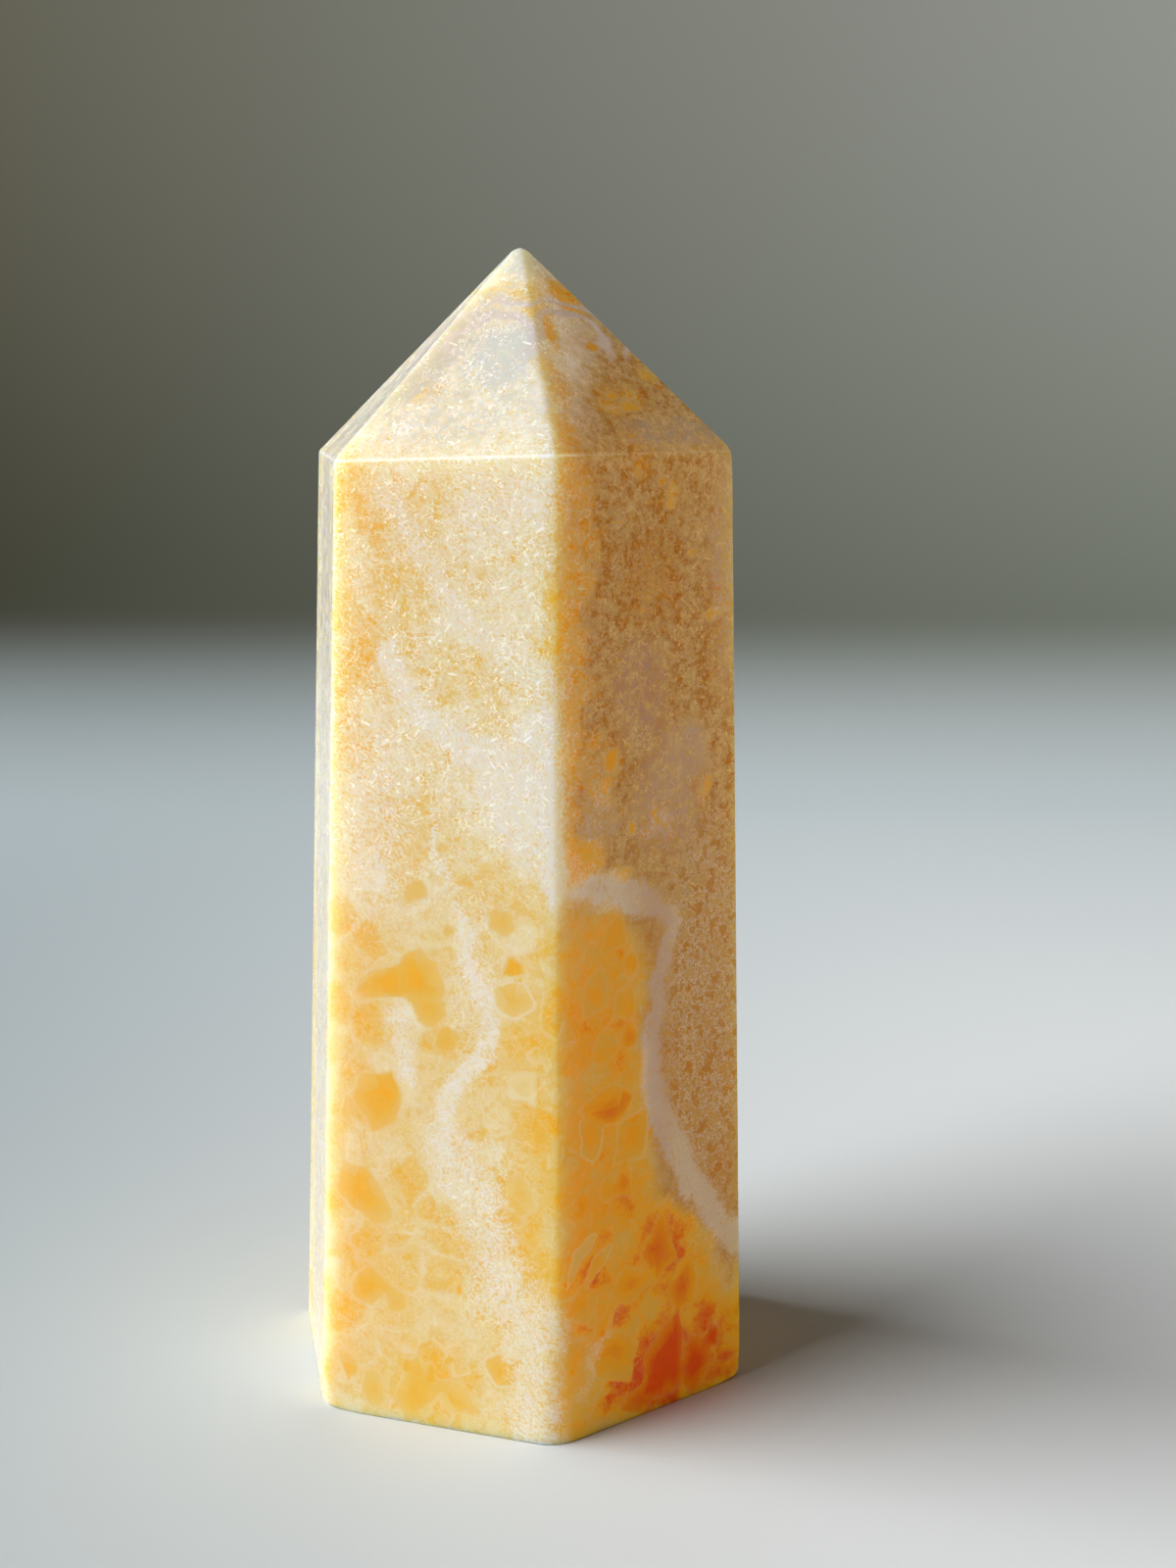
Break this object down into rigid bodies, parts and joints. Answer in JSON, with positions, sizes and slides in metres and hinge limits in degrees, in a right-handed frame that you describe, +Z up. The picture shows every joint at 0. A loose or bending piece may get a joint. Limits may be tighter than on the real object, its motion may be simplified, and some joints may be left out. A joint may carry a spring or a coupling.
{
  "type": "orange calcite tower",
  "caption": "Polished calcite column with six flat sides that lean in slightly, a six-sided point with a blunt tip, and a flat base that it stands on.",
  "frame": {"origin": "middle of the bounding box, on the flat base that the tower stands on", "axes": "+Z up along the column towards the point, -Y towards the front edge between the two widest visible sides, +X to the right"},
  "size_m": [0.0362, 0.0384, 0.09],
  "materials": {
    "calcite": "polished translucent orange calcite, banded and sugary cream to honey orange"
  },
  "bodies": {
    "root": {"tower": "calcite"}
  },
  "joints": []
}
